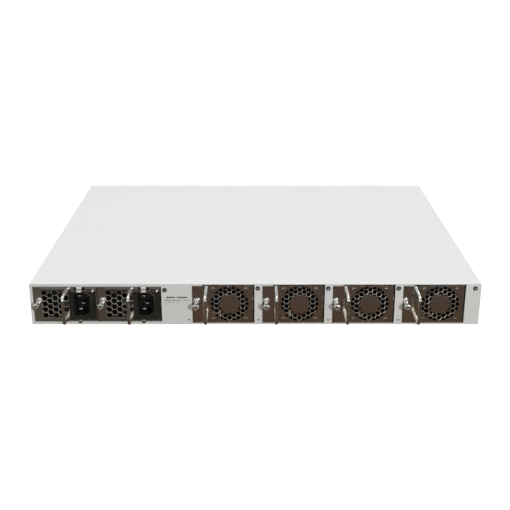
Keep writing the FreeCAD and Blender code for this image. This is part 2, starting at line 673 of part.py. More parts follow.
def psu_faceplate(left):
    z0, z1 = PSU_Z
    ear = box(left, left + PSU_EAR_W, 0, PSU_T, z0 - 0.3, z1)
    outline = ((0, z0 + 0.3), (0, PSU_SLOPE_Z), (PSU_SLOPE, z1), (PSU_T, z1), (PSU_T, z0 + 0.3))
    plate = fuse_all([ear, prism_x(outline, left + PSU_EAR_W, left + PSU_W)])
    gap = 0.05
    tools = psu_grille_cells(left)
    tools.append(box(left + INLET_X[0] - gap, left + INLET_X[1] + gap, -1, PSU_T + 1,
                     INLET_Z[0] - gap, INLET_Z[1] + gap))
    tools.append(rod(left + PSU_SCREW_X, PSU_SCREW_Z, SHANK_R + RUN_GAP, -1, PSU_T + 1))
    tools += [box(left + a, left + b, -1, PSU_T + 1, *PSU_SLOT_Z) for a, b in PSU_SLOTS]
    return cut_all(plate, tools)


def psu_case(left):
    """The supply's case as its folded sheets, and the wall inside that carries its fan."""
    x0, x1 = left + CASE_X[0], left + CASE_X[1]
    z0, z1 = PSU_Z[0], PSU_Z[1] - 0.1
    t = CASE_T
    x, z = (x0 + x1) / 2, (z0 + z1) / 2
    sheets = [box(x0, x1, PSU_T, CASE_LENGTH, z0, z0 + t), box(x0, x1, PSU_T, CASE_LENGTH, z1 - t, z1)]
    sheets += [box(a, a + t, PSU_T, CASE_LENGTH, z0 + t, z1 - t) for a in (x0, x1 - t)]
    end = box(x0 + t, x1 - t, CASE_LENGTH - t, CASE_LENGTH, z0 + t, z1 - t)
    half = CASE_CONTACT_HALF + 0.5
    tools = [box(x - half, x + half, CASE_LENGTH - 2, CASE_LENGTH + 1,
                 BOARD_Z[0] - 0.3, BOARD_Z[1] + 0.3)]
    for i in range(CASE_VENTS["count"]):
        slot_x = x + (i - (CASE_VENTS["count"] - 1) / 2) * CASE_VENTS["pitch"] - CASE_VENTS["width"] / 2
        tools.append(box(slot_x, slot_x + CASE_VENTS["width"], CASE_LENGTH - 2, CASE_LENGTH + 1,
                         *CASE_VENTS["z"]))
    sheets.append(cut_all(end, tools))
    d0, d1 = CASE_FAN_DEPTH
    wall = box(x0 + t, x1 - t, d0, d1, z0 + t, z1 - t).cut(rod(x, z, CASE_BORE_R, d0 - 1, d1 + 1))
    post_solid, running_bore = bearing_post(x, z, d1, d1 + 14)
    carrier = fuse_all([wall, post_solid] + spider(x, z, CASE_HUB_R + 0.2, CASE_BORE_R, d0, d1))
    sheets.append(carrier.cut(running_bore))
    return sheets


def psu_inlet(left):
    """A three-pin appliance inlet on its side, with two chamfered corners."""
    x0, x1 = left + INLET_X[0], left + INLET_X[1]
    z0, z1 = INLET_Z
    flange = box(x0, x1, INLET_FRONT, PSU_T, z0, z1)
    body = box(x0 + 1.2, x1 - 1.2, PSU_T, INLET_BODY, z0 + 1, z1 - 1)
    c0, c1 = left + CAVITY_X[0], left + CAVITY_X[1]
    b, t = CAVITY_Z
    n = CAVITY_CHAMFER
    outline = ((c0, b), (c1 - n, b), (c1, b + n), (c1, t - n), (c1 - n, t), (c0, t))
    return fuse_all([flange, body]).cut(prism_y(outline, INLET_FRONT - 1, CAVITY_END))


def psu_inlet_pins(left):
    half_x, half_z = PIN_SIZE[0] / 2, PIN_SIZE[1] / 2
    pins = []
    for offset, z in PINS:
        x = left + offset
        pins.append(box(x - half_x, x + half_x, CAVITY_END - PIN_LENGTH, CAVITY_END,
                        z - half_z, z + half_z))
    return pins


def psu_board(left):
    """The supply's board, the block and capacitors on it, and its edge contacts."""
    x0, x1 = left + CASE_X[0] + CASE_T, left + CASE_X[1] - CASE_T
    centre = (x0 + x1) / 2
    z0, z1 = BOARD_Z
    end = CASE_LENGTH - CASE_T
    board = fuse_all([box(x0, x1, PSU_BOARD_START, end, z0, z1),
                      box(centre - CASE_CONTACT_HALF, centre + CASE_CONTACT_HALF, end,
                          CASE_LENGTH + 8, z0, z1)])
    transformer = box(centre - 14, centre + 16, 110.0, 142.0, z1, z1 + 26)
    capacitors = [post(centre + dx, 84.0, 8.0, z1, z1 + 28) for dx in (-14, 12)]
    return [board, transformer] + capacitors


def psu_rotor(left):
    x = left + sum(CASE_X) / 2
    z = (PSU_Z[0] + PSU_Z[1] - 0.1) / 2
    return rotor(x, z, CASE_HUB_R, CASE_BLADE_R, *CASE_ROTOR_DEPTH)


# --- write every sub-part --------------------------------------------------------------
def main():
    os.makedirs("parts", exist_ok=True)
    save("base_pan", [base_pan()])
    save("top_cover", [top_cover()])
    save("rear_panel", [rear_panel()])
    save("front_panel", [front_panel()])
    save("vent_screens", vent_screens())
    save("bay_walls", bay_walls())
    save("main_board", main_board())
    save("board_standoffs", standoffs())
    save("heatsinks", [heatsink(chip) for chip in (CHIP, CPU)])
    save("module_sockets", module_sockets())
    save("qsfp_cages", [sheet for x in QSFP_X for sheet in port_cage(x, QSFP)])
    save("sfp_cages", port_cage(SFP_X, SFP))
    save("network_jacks", [network_jack(x) for x in JACK_X])
    save("light_pipes", light_pipes())
    save("reset_button", [reset_button()])
    save("case_screws", case_screws())
    for number, left in enumerate(fan_lefts(), 1):
        name = "fan_%d_" % number
        save(name + "faceplate", [fan_faceplate(left)])
        save(name + "tray", [fan_tray(left)])
        save(name + "frame", [fan_frame(left)])
        save(name + "screws", fan_screws(left))
        save(name + "rotor", [fan_rotor(left)])
        save(name + "handle", [handle(left + FAN_HANDLE_X)])
        save(name + "thumbscrew", [thumbscrew(left + FAN_SCREW_X, FAN_SCREW_Z)])
    for number, left in enumerate(psu_lefts(), 1):
        name = "psu_%d_" % number
        save(name + "faceplate", [psu_faceplate(left)])
        save(name + "case", psu_case(left))
        save(name + "inlet", [psu_inlet(left)])
        save(name + "inlet_pins", psu_inlet_pins(left))
        save(name + "board", psu_board(left))
        save(name + "rotor", [psu_rotor(left)])
        save(name + "handle", [handle(left + PSU_HANDLE_X)])
        save(name + "thumbscrew", [thumbscrew(left + PSU_SCREW_X, PSU_SCREW_Z)])


main()
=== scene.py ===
import math

import bmesh
import bpy
from mathutils import Euler, Matrix, Vector


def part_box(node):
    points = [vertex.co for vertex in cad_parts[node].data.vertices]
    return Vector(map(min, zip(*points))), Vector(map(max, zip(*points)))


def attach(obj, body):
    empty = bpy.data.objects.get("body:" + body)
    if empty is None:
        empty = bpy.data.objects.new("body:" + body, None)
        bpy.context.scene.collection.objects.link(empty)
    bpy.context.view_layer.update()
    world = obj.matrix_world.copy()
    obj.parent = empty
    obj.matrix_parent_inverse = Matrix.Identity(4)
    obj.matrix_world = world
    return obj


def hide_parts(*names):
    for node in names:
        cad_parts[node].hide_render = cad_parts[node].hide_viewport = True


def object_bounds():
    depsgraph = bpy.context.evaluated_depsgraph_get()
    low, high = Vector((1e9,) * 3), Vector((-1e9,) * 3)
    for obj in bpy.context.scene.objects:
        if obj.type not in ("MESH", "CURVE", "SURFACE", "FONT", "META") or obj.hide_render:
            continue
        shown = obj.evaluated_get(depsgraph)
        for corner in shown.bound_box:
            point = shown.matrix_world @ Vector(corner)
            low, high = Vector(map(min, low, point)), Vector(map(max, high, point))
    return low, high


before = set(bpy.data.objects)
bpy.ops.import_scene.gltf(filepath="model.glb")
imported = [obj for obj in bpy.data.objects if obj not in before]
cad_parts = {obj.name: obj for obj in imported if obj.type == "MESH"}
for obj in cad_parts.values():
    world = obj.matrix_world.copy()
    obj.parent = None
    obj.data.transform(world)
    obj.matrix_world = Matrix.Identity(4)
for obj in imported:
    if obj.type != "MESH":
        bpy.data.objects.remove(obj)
cad_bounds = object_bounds()

MM = 0.001
TURN = 2 * math.pi
FANS = ["fan_%d" % i for i in range(1, 5)]
PSUS = ["psu_%d" % i for i in range(1, 3)]
REAR_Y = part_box("rear_panel")[0].y
FRONT_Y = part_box("front_panel")[1].y
CASE_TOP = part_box("top_cover")[1].z
# centres of the rear panel's screws
REAR_SCREWS = [(x * MM, z * MM) for x, z in
               ((-89.0, 36.7), (2.3, 38.5), (71.4, 38.5), (140.5, 38.5), (215.5, 38.5))]


# --- mesh helpers ----------------------------------------------------------------------
def piece(name, bm, material, body, smooth=None):
    """Turns a bmesh into a piece that rides on a body; smooth is an edge angle in degrees."""
    bmesh.ops.recalc_face_normals(bm, faces=bm.faces)
    mesh = bpy.data.meshes.new(name)
    bm.to_mesh(mesh)
    bm.free()
    if smooth:
        mesh.shade_smooth()
        mesh.set_sharp_from_angle(angle=math.radians(smooth))
    obj = bpy.data.objects.new(name, mesh)
    obj.data.materials.append(material)
    bpy.context.scene.collection.objects.link(obj)
    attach(obj, body)
    return obj


def add_block(bm, low, high, bevel=0.0, segments=2, turn=None):
    """A box from corner low to corner high, with rounded edges; turn is a matrix about its middle."""
    size = Vector(high) - Vector(low)
    middle = (Vector(high) + Vector(low)) / 2
    made = bmesh.ops.create_cube(bm, size=1.0)["verts"]
    bmesh.ops.scale(bm, vec=size, verts=made)
    if bevel:
        edges = list({e for v in made for e in v.link_edges})
        bevelled = bmesh.ops.bevel(bm, geom=edges, offset=bevel, segments=segments,
                                   profile=0.5, affect="EDGES")
        made = list({v for f in bevelled["faces"] for v in f.verts} | {v for v in made if v.is_valid})
    if turn is not None:
        bmesh.ops.transform(bm, matrix=turn, verts=made)
    bmesh.ops.translate(bm, vec=middle, verts=made)


def skin(bm, rings, ends=True):
    """Joins rings of equally many vertices by faces, and closes the first and the last one."""
    for a, b in zip(rings, rings[1:]):
        for k in range(len(a)):
            n = (k + 1) % len(a)
            bm.faces.new((a[k], a[n], b[n], b[k]))
    if ends:
        bm.faces.new(rings[0])
        bm.faces.new(list(reversed(rings[-1])))


def add_turned(bm, centre, profile, steps, ripple=None):
    """A solid of revolution about the Y axis through centre; profile is (radius, y) points.
    ripple(ring, step, radius) may change a radius, as for a knurl."""
    rings = []
    for i, (radius, y) in enumerate(profile):
        if radius < 1e-7:
            rings.append([bm.verts.new((centre.x, y, centre.z))])
            continue
        ring = []
        for k in range(steps):
            r = ripple(i, k, radius) if ripple else radius
            a = TURN * k / steps
            ring.append(bm.verts.new((centre.x + r * math.cos(a), y, centre.z + r * math.sin(a))))
        rings.append(ring)
    for a, b in zip(rings, rings[1:]):
        for k in range(steps):
            n = (k + 1) % steps
            if len(a) == 1:
                bm.faces.new((a[0], b[k], b[n]))
            elif len(b) == 1:
                bm.faces.new((a[k], b[0], a[n]))
            else:
                bm.faces.new((a[k], b[k], b[n], a[n]))
    return rings


def add_tube(bm, points, radius, sides):
    """A round tube along points, with its section kept square to the path."""
    points = [Vector(p) for p in points]
    rings = []
    side = None
    for i, at in enumerate(points):
        ahead = points[min(i + 1, len(points) - 1)] - points[max(i - 1, 0)]
        ahead.normalize()
        if side is None:
            side = ahead.orthogonal().normalized()
        side = (side - ahead * side.dot(ahead)).normalized()
        up = ahead.cross(side)
        rings.append([bm.verts.new(at + radius * (side * math.cos(TURN * k / sides)
                                                   + up * math.sin(TURN * k / sides)))
                      for k in range(sides)])
    skin(bm, rings)


def bend(start, corner, end, radius):
    """Points of a round corner of the given radius between two straight runs."""
    a = (start - corner).normalized()
    b = (end - corner).normalized()
    half = a.angle(b) / 2
    reach = radius / math.tan(half)
    centre = corner + (a + b).normalized() * (radius / math.sin(half))
    p, q = corner + a * reach - centre, corner + b * reach - centre
    sweep = p.angle(q)
    axis = p.cross(q).normalized()
    steps = 10
    return [centre + Matrix.Rotation(sweep * k / steps, 3, axis) @ p for k in range(steps + 1)]


def soften(obj, width):
    """Rounds a piece's edges with a bevel."""
    modifier = obj.modifiers.new("edges", "BEVEL")
    modifier.width = width
    modifier.segments = 2
    modifier.limit_method = "ANGLE"
    modifier.angle_limit = math.radians(40)


# --- materials -------------------------------------------------------------------------
def toned(color, share):
    """A colour with each of its parts multiplied by share, and none above 1."""
    return tuple(min(1.0, part * share) for part in color)


class Paint:
    """A Principled material with a few noise-driven details, all in object space."""

    def __init__(self, name, color, roughness, metallic=0.0):
        self.material = bpy.data.materials.new(name)
        self.material.use_nodes = True
        self.tree = self.material.node_tree
        self.shader = self.tree.nodes["Principled BSDF"]
        self.coords = self.tree.nodes.new("ShaderNodeTexCoord")
        self.color = color
        self.set("Base Color", (*color, 1))
        self.set("Roughness", roughness)
        self.set("Metallic", metallic)

    def set(self, socket, value):
        """Gives an input of the shader a fixed value."""
        self.shader.inputs[socket].default_value = value
        return self

    def node(self, kind, **values):
        """A new node; each value goes to the input of that name, with spaces for underscores."""
        made = self.tree.nodes.new(kind)
        for key, value in values.items():
            made.inputs[key.replace("_", " ")].default_value = value
        return made

    def link(self, a, b):
        self.tree.links.new(a, b)

    def noise(self, scale, detail=3.0, stretch=(1, 1, 1)):
        """A noise with about scale grains to the metre, squeezed along each axis by stretch."""
        mapping = self.node("ShaderNodeMapping", Scale=stretch)
        made = self.node("ShaderNodeTexNoise", Scale=scale, Detail=detail)
        self.link(self.coords.outputs["Object"], mapping.inputs["Vector"])
        self.link(mapping.outputs["Vector"], made.inputs["Vector"])
        return made.outputs["Fac"]

    def between(self, fac, low, high, socket):
        """Lets fac move a socket's value from low to high."""
        ramp = self.node("ShaderNodeMapRange", From_Min=0.3, From_Max=0.7, To_Min=low, To_Max=high)
        self.link(fac, ramp.inputs["Value"])
        self.link(ramp.outputs["Result"], self.shader.inputs[socket])
        return self

    def tint(self, fac, other, share):
        """Mixes the base colour towards another one, where fac is high, up to share."""
        mix = self.tree.nodes.new("ShaderNodeMix")
        mix.data_type = "RGBA"
        strength = self.node("ShaderNodeMapRange", From_Min=0.35, From_Max=0.65, To_Max=share)
        self.link(fac, strength.inputs["Value"])
        self.link(strength.outputs["Result"], mix.inputs["Factor"])
        socket = self.shader.inputs["Base Color"]
        if socket.is_linked:
            self.link(socket.links[0].from_socket, mix.inputs["A"])
        else:
            mix.inputs["A"].default_value = (*self.color, 1)
        mix.inputs["B"].default_value = (*other, 1)
        self.link(mix.outputs["Result"], socket)
        return self

    def bump(self, fac, height, strength, edge=0.0):
        """Surface relief of the given height; edge also rounds sharp edges to that radius."""
        made = self.node("ShaderNodeBump", Strength=strength, Distance=height)
        self.link(fac, made.inputs["Height"])
        if edge:
            soft = self.node("ShaderNodeBevel", Radius=edge)
            soft.samples = 4
            self.link(soft.outputs["Normal"], made.inputs["Normal"])
        self.link(made.outputs["Normal"], self.shader.inputs["Normal"])
        return self


def powder_coat(name, color):
    """Matt powder paint with a fine orange-peel relief."""
    paint = Paint(name, color, 0.6)
    paint.set("Specular IOR Level", 0.3)
    paint.tint(paint.noise(14.0), toned(color, 0.96), 0.3)
    paint.between(paint.noise(900.0), 0.58, 0.7, "Roughness")
    return paint.bump(paint.noise(2600.0, 2.0), 0.06 * MM, 0.22, edge=0.5 * MM).material


# heights between which the plates' colour shifts towards a painted reflection at the top
PLATE_LOW, PLATE_HIGH = 8 * MM, 38 * MM


def plated_sheet(name, color, shade, upper, roughness):
    """Bright-nickel sheet: nearly a mirror, with faint rolling lines and smudges; towards the top its
    colour turns to upper, a painted reflection that stands in for the paler, cooler sheen of the
    plate's upper part."""
    paint = Paint(name, color, roughness, metallic=1.0)
    height = paint.node("ShaderNodeSeparateXYZ")
    paint.link(paint.coords.outputs["Object"], height.inputs[0])
    # painted reflection: between PLATE_LOW and PLATE_HIGH the colour turns towards upper
    rise = paint.node("ShaderNodeMapRange", From_Min=PLATE_LOW, From_Max=PLATE_HIGH)
    paint.link(height.outputs["Z"], rise.inputs["Value"])
    paint.tint(rise.outputs["Result"], upper, 1.0)
    paint.tint(paint.noise(45.0), shade, 0.5)
    paint.tint(paint.noise(220.0, 4.0, (1, 1, 6)), toned(color, 0.85), 0.25)
    paint.between(paint.noise(60.0), roughness * 0.7, roughness * 1.6, "Roughness")
    lines = paint.noise(900.0, 2.0, (1, 1, 14))
    return paint.bump(lines, 0.01 * MM, 0.06, edge=0.22 * MM).material


def bright_metal(name, color, roughness, relief=0.01 * MM):
    """Bare or plated metal, a little darker and rougher in patches."""
    paint = Paint(name, color, roughness, metallic=1.0)
    paint.tint(paint.noise(160.0), toned(color, 0.9), 0.4)
    paint.between(paint.noise(500.0), roughness * 0.85, roughness * 1.3, "Roughness")
    return paint.bump(paint.noise(1800.0), relief, 0.15, edge=0.1 * MM).material


def zinc_sheet(name, color, roughness=0.32):
    """Zinc plate: a bluish grey with a faint spangle of crystals."""
    paint = Paint(name, color, roughness, metallic=1.0)
    cells = paint.node("ShaderNodeTexVoronoi", Scale=180.0)
    paint.link(paint.coords.outputs["Object"], cells.inputs["Vector"])
    paint.tint(cells.outputs["Color"], toned(color, 0.82), 0.5)
    paint.between(paint.noise(240.0), roughness * 0.9, roughness * 1.25, "Roughness")
    return paint.bump(paint.noise(1500.0), 0.01 * MM, 0.1, edge=0.2 * MM).material


def moulded(name, color, roughness=0.45, grain=1900.0, shine=0.5):
    """Moulded plastic with a fine spark-eroded grain."""
    paint = Paint(name, color, roughness)
    paint.set("Specular IOR Level", shine)
    paint.tint(paint.noise(120.0), tuple(min(1.0, c * 1.6 + 0.004) for c in color), 0.4)
    paint.between(paint.noise(700.0), roughness * 0.8, roughness * 1.3, "Roughness")
    return paint.bump(paint.noise(grain, 2.0), 0.03 * MM, 0.3, edge=0.3 * MM).material


def circuit_board(name):
    """Green solder mask with the relief of straight tracks under it."""
    paint = Paint(name, (0.012, 0.09, 0.045), 0.3)
    tracks = paint.node("ShaderNodeTexBrick", Scale=260.0, Mortar_Size=0.12)
    paint.link(paint.coords.outputs["Object"], tracks.inputs["Vector"])
    paint.tint(tracks.outputs["Fac"], (0.05, 0.2, 0.1), 0.8)
    return paint.bump(tracks.outputs["Fac"], 0.04 * MM, 0.4).material


def clear_plastic(name, color, roughness=0.2, glow=0.0):
    """A tinted see-through plastic, for light pipes and lenses; glow makes it shine by emission, which
    on the status lens is a painted highlight.
    """
    paint = Paint(name, color, roughness)
    paint.set("Emission Color", (*color, 1)).set("Emission Strength", glow)
    paint.set("Transmission Weight", 0.45).set("IOR", 1.49)
    paint.tint(paint.noise(300.0), toned(color, 0.8), 0.4)
    return paint.bump(paint.noise(900.0), 0.02 * MM, 0.2, edge=0.1 * MM).material


def printed(name, color):
    """Ink or label film, a little uneven."""
    paint = Paint(name, color, 0.6)
    paint.tint(paint.noise(2200.0, 5.0), toned(color, 1.5), 0.5)
    return paint.bump(paint.noise(2600.0), 0.01 * MM, 0.2).material


WHITE = powder_coat("white_powder_coat", (0.84, 0.84, 0.84))
# each plate's upper colour is a painted reflection towards its top
FAN_PLATE = plated_sheet("brown_nickel_sheet", (0.86, 0.78, 0.66), shade=(0.84, 0.76, 0.72),
                         upper=(0.82, 0.88, 0.92), roughness=0.05)
PSU_PLATE = plated_sheet("grey_nickel_sheet", (0.82, 0.78, 0.72), shade=(0.82, 0.76, 0.7),
                         upper=(0.9, 0.92, 0.94), roughness=0.055)
CHROME = bright_metal("polished_chrome", (0.93, 0.92, 0.9), 0.05)
NICKEL = bright_metal("satin_nickel", (0.9, 0.89, 0.86), 0.13)
RIVET = bright_metal("rivet_nickel", (0.5, 0.46, 0.41), 0.16)
# light metal for the painted glints in the rear screws' recesses
CROSS_GLINT = bright_metal("driver_recess", (0.85, 0.85, 0.84), 0.6, 0.02 * MM)
PIN_METAL = bright_metal("pin_metal", (0.7, 0.69, 0.66), 0.2)
STEEL = bright_metal("plain_steel", (0.58, 0.56, 0.52), 0.26, 0.02 * MM)
CAGE = bright_metal("cage_sheet", (0.62, 0.62, 0.61), 0.3, 0.03 * MM)
GOLD = bright_metal("gold_contact", (0.86, 0.64, 0.28), 0.2)
BRASS = bright_metal("brass_post", (0.72, 0.56, 0.3), 0.28)
ALLOY = bright_metal("extruded_alloy", (0.7, 0.7, 0.71), 0.35, 0.04 * MM)
DARK_STEEL = bright_metal("blackened_screw", (0.055, 0.054, 0.052), 0.3, 0.02 * MM)
ZINC = zinc_sheet("zinc_sheet", (0.56, 0.57, 0.58))
BLACK = moulded("black_plastic", (0.012, 0.0125, 0.012))
DEEP_BLACK = moulded("fan_plastic", (0.005, 0.005, 0.005), 0.55, shine=0.2)
INLET_GREY = moulded("inlet_plastic", (0.015, 0.0145, 0.0125), 0.38)
# black film; as clip pockets and face bends it is painted shade, and it also darkens the supplies'
# linings
FILM_AND_SHADE = moulded("insulating_and_shade_film", (0.008, 0.008, 0.0085), 0.35, 600.0)
# black foam; in the gaps and behind the fan grilles it is painted shade
SHADE_FOAM = moulded("gap_shade_foam", (0.005, 0.005, 0.005), 0.8, 1200.0, 0.15)
SCREEN = moulded("black_screen", (0.008, 0.008, 0.008), 0.5)
BOARD = circuit_board("solder_mask")
LIGHT_PIPE = clear_plastic("light_pipe", (0.75, 0.8, 0.74))
# the status lens glows as a painted highlight, not a lit status light
STATUS_LENS = clear_plastic("status_lens", (0.9, 0.92, 0.9), 0.2, 0.5)
LENS_GREEN = clear_plastic("green_lens", (0.12, 0.5, 0.14))
LENS_AMBER = clear_plastic("amber_lens", (0.75, 0.4, 0.06))
PRINT = printed("grey_print", (0.2, 0.2, 0.195))
DARK_PRINT = printed("dark_print", (0.07, 0.07, 0.068))
LABEL = printed("label_film", (0.62, 0.62, 0.6))


def finish_cad_nodes():
    """Gives every CAD node that stays in view its material."""
    chassis = {
        "base_pan": WHITE, "top_cover": WHITE, "rear_panel": WHITE, "front_panel": WHITE,
        "vent_screens": SCREEN, "bay_walls": ZINC, "main_board": BOARD,
        "board_standoffs": BRASS, "heatsinks": ALLOY, "module_sockets": BLACK,
        "qsfp_cages": CAGE, "sfp_cages": CAGE, "network_jacks": BLACK,
        "light_pipes": LIGHT_PIPE, "reset_button": BLACK, "case_screws": DARK_STEEL}
    fan = {"faceplate": FAN_PLATE, "tray": ZINC, "frame": DEEP_BLACK, "screws": RIVET,
           "rotor": DEEP_BLACK, "handle": CHROME, "thumbscrew": NICKEL}
    psu = {"faceplate": PSU_PLATE, "case": ZINC, "inlet": INLET_GREY, "inlet_pins": NICKEL,
           "board": BOARD, "rotor": DEEP_BLACK, "handle": CHROME, "thumbscrew": NICKEL}
    chosen = dict(chassis)
    for names, kinds in ((FANS, fan), (PSUS, psu)):
        for name in names:
            chosen.update({"%s_%s" % (name, kind): made for kind, made in kinds.items()})
    for name, made in chosen.items():
        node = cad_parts[name]
        for material_slot in node.material_slots:
            material_slot.material = made
        if not node.material_slots:
            node.data.materials.append(made)


# --- handles and captive screws --------------------------------------------------------
def wire_handle(module):
    """A bright bent wire whose legs end in the face, each in a small welded foot."""
    low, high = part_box(module + "_handle")
    radius = (high.x - low.x) / 2
    bend_radius = 3.5 * MM
    x = (low.x + high.x) / 2
    out = low.y + radius
    face = high.y
    z0, z1 = low.z + radius, high.z - radius
    feet = [Vector((x, face, z)) for z in (z0, z1)]
    corners = [Vector((x, out, z)) for z in (z0, z1)]
    path = ([feet[0], feet[0].lerp(corners[0], 0.5)]
            + bend(feet[0], corners[0], corners[1], bend_radius)
            + [corners[0].lerp(corners[1], 0.5)]
            + bend(corners[0], corners[1], feet[1], bend_radius)
            + [feet[1].lerp(corners[1], 0.5), feet[1]])
    weld = [(radius * share, face - height * MM)
            for share, height in ((0.9, 0.0), (1.14, 0.0), (1.04, 0.12), (0.9, 0.3))]
    sides = 28
    bm = bmesh.new()
    add_tube(bm, path, radius, sides)
    for foot in feet:
        add_turned(bm, foot, weld, sides)
    wire = piece(module + "_wire_handle", bm, CHROME, module + "_module", smooth=40)
    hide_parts(module + "_handle")


def cross_outline(length, width):
    """The twelve corners of an upright cross, as (x, z) offsets."""
    a, b = length / 2, width / 2
    return [(a, b), (b, b), (b, a), (-b, a), (-b, b), (-a, b), (-a, -b), (-b, -b), (-b, -a),
            (b, -a), (b, -b), (a, -b)]


def add_recessed_face(bm, centre, ring, y, depth, length, width):
    """Closes a ring with a face that has a cross-shaped recess in it."""
    top = [bm.verts.new((centre.x + x, y, centre.z + z)) for x, z in cross_outline(length, width)]
    floor = [bm.verts.new((v.co.x, y + depth, v.co.z)) for v in top]
    count = len(top)
    edges = [bm.edges.new((top[i], top[(i + 1) % count])) for i in range(count)]
    steps = len(ring)
    rim = [bm.edges.get((ring[i], ring[(i + 1) % steps])) for i in range(steps)]
    bmesh.ops.triangle_fill(bm, edges=edges + rim, use_beauty=True, normal=(0, -1, 0))
    for i in range(count):
        n = (i + 1) % count
        bm.faces.new((top[i], top[n], floor[n], floor[i]))
    bm.faces.new(floor)


def knurled_screw(module):
    """The captive screw: a knurled knob with a cross recess, a waisted neck and a shank."""
    low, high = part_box(module + "_thumbscrew")
    centre = (low + high) / 2
    front, back = low.y, high.y
    knob, neck, shank = (high.x - low.x) / 2, 2.2 * MM, 1.5 * MM
    knob_length, collar = 3.8 * MM, 0.3 * MM
    knob_end = front + knob_length
    knurl_start, knurl_length, knurl_depth = 0.55 * MM, 2.7 * MM, 0.12 * MM
    knurl_rows, steps = 7, 72
    face = REAR_Y - 0.1 * MM
    profile = [(knob - 0.75 * MM, front), (knob - 0.25 * MM, front + 0.25 * MM)]
    first = len(profile)
    for i in range(knurl_rows):
        profile.append((knob - knurl_depth, front + knurl_start + knurl_length * i / (knurl_rows - 1)))
    profile += [(knob - 0.4 * MM, knob_end), (neck + collar, knob_end + 0.05 * MM),
                (neck, knob_end + 0.5 * MM), (neck, face), (shank, face),
                (shank, back - 0.7 * MM), (shank * 0.5, back), (0.0, back)]

    def knurl(ring, step, radius):
        if first <= ring < first + knurl_rows:
            return radius + knurl_depth * (1 if (step + ring) % 2 else -1)
        return radius

    bm = bmesh.new()
    rings = add_turned(bm, centre, profile, steps, knurl)
    add_recessed_face(bm, centre, rings[0], front, depth=1.1 * MM, length=4.2 * MM, width=0.9 * MM)
    screw = piece(module + "_knurled_screw", bm, NICKEL, module + "_thumbscrew", smooth=32)
    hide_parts(module + "_thumbscrew")


# --- fan modules -----------------------------------------------------------------------
def fan_lead(module):
    """The fan's three twisted leads, beside the hub and close behind the grille."""
    low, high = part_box(module + "_frame")
    centre = (low + high) / 2
    x = centre.x - 9.4 * MM
    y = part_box(module + "_faceplate")[1].y + 0.9 * MM
    top = centre.z - 6.6 * MM
    wire_radius, sway_x, sway_y = 0.3 * MM, 0.42 * MM, 0.3 * MM
    points, drop, twist = 25, 0.34 * MM, 0.42
    bm = bmesh.new()
    for phase in (0.0, 2.1, 4.2):
        line = []
        for k in range(points):
            turn = phase + twist * k
            line.append((x + sway_x * math.sin(turn), y + sway_y * math.cos(turn), top - drop * k))
        add_tube(bm, line, wire_radius, sides=10)
    lead = piece(module + "_lead", bm, STEEL, module + "_module", smooth=40)


def fan_plug(module):
    """The connector at the tray's inner end, with a guide on each side and a row of contacts."""
    low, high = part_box(module + "_tray")
    x, end = (low.x + high.x) / 2, high.y
    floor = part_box(module + "_frame")[0].z
    edge = 0.5 * MM
    half, tall, inside, outside = 8.5 * MM, 9 * MM, 9 * MM, 6 * MM
    guide_x, guide_half, guide_tall, guide_long = 10.2 * MM, 1.6 * MM, 4 * MM, 6 * MM
    bm = bmesh.new()
    add_block(bm, (x - half, end - inside, floor), (x + half, end + outside, floor + tall), edge)
    for side in (-1, 1):
        guide = x + side * guide_x
        add_block(bm, (guide - guide_half, end - guide_long, floor),
                  (guide + guide_half, end, floor + guide_tall), edge)
    plug = piece(module + "_plug", bm, BLACK, module + "_module", smooth=40)
    contact_count, pitch, contact_half, contact_edge = 6, 2.5 * MM, 0.5 * MM, 0.15 * MM
    bm = bmesh.new()
    for i in range(contact_count):
        contact = x + (i - (contact_count - 1) / 2) * pitch
        add_block(bm, (contact - contact_half, end + 5.5 * MM, floor + 3.5 * MM),
                  (contact + contact_half, end + 7.5 * MM, floor + 5.5 * MM), contact_edge)
    contacts = piece(module + "_plug_contacts", bm, GOLD, module + "_module", smooth=40)


# --- power supplies --------------------------------------------------------------------
def psu_face(module):
    """Corners of the faceplate and of the inlet on it."""
    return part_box(module + "_faceplate"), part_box(module + "_inlet")


def cord_clip(module):
    """The bright spring clip above the inlet, with a lip that curls outwards, and a black block behind
    it that paints the shade of the pocket there."""
    plate, inlet = psu_face(module)
    x, front = inlet[0].x + 10.85 * MM, plate[0].y
    top, bottom = plate[1].z - 0.45 * MM, inlet[1].z + 0.35 * MM
    thick, half_low, flare = 0.55 * MM, 2.4 * MM, 0.3 * MM
    # mm behind the face, and share of the way from the clip's bottom to its top
    section = ((0.3, 1.0), (-0.1, 0.9), (-0.25, 0.62), (-0.33, 0.36), (-0.6, 0.17), (-1.3, 0.0),
               (-1.7, 0.05))
    bm = bmesh.new()
    rows = []
    for depth, share in section:
        y, z = front + depth * MM, bottom + (top - bottom) * share
        half = half_low + flare * min(1.0, share * 2.5)
        rows.append([bm.verts.new((x + side * half, y - out, z - out * 0.3))
                     for side, out in ((-1, 0), (1, 0), (1, thick), (-1, thick))])
    skin(bm, rows)
    clip = piece(module + "_cord_clip", bm, NICKEL, module + "_module", smooth=50)
    soften(clip, 0.18 * MM)
    # painted shade: a black film block, slightly proud of the face, for the dark pocket behind the
    # clip
    pocket_half, pocket_low, pocket_high = 3.8 * MM, 35.9 * MM, 39.4 * MM
    bm = bmesh.new()
    add_block(bm, (x - pocket_half, front - 0.02 * MM, pocket_low),
              (x + pocket_half, front + 0.9 * MM, pocket_high))
    pocket = piece(module + "_clip_pocket", bm, FILM_AND_SHADE, module + "_module")


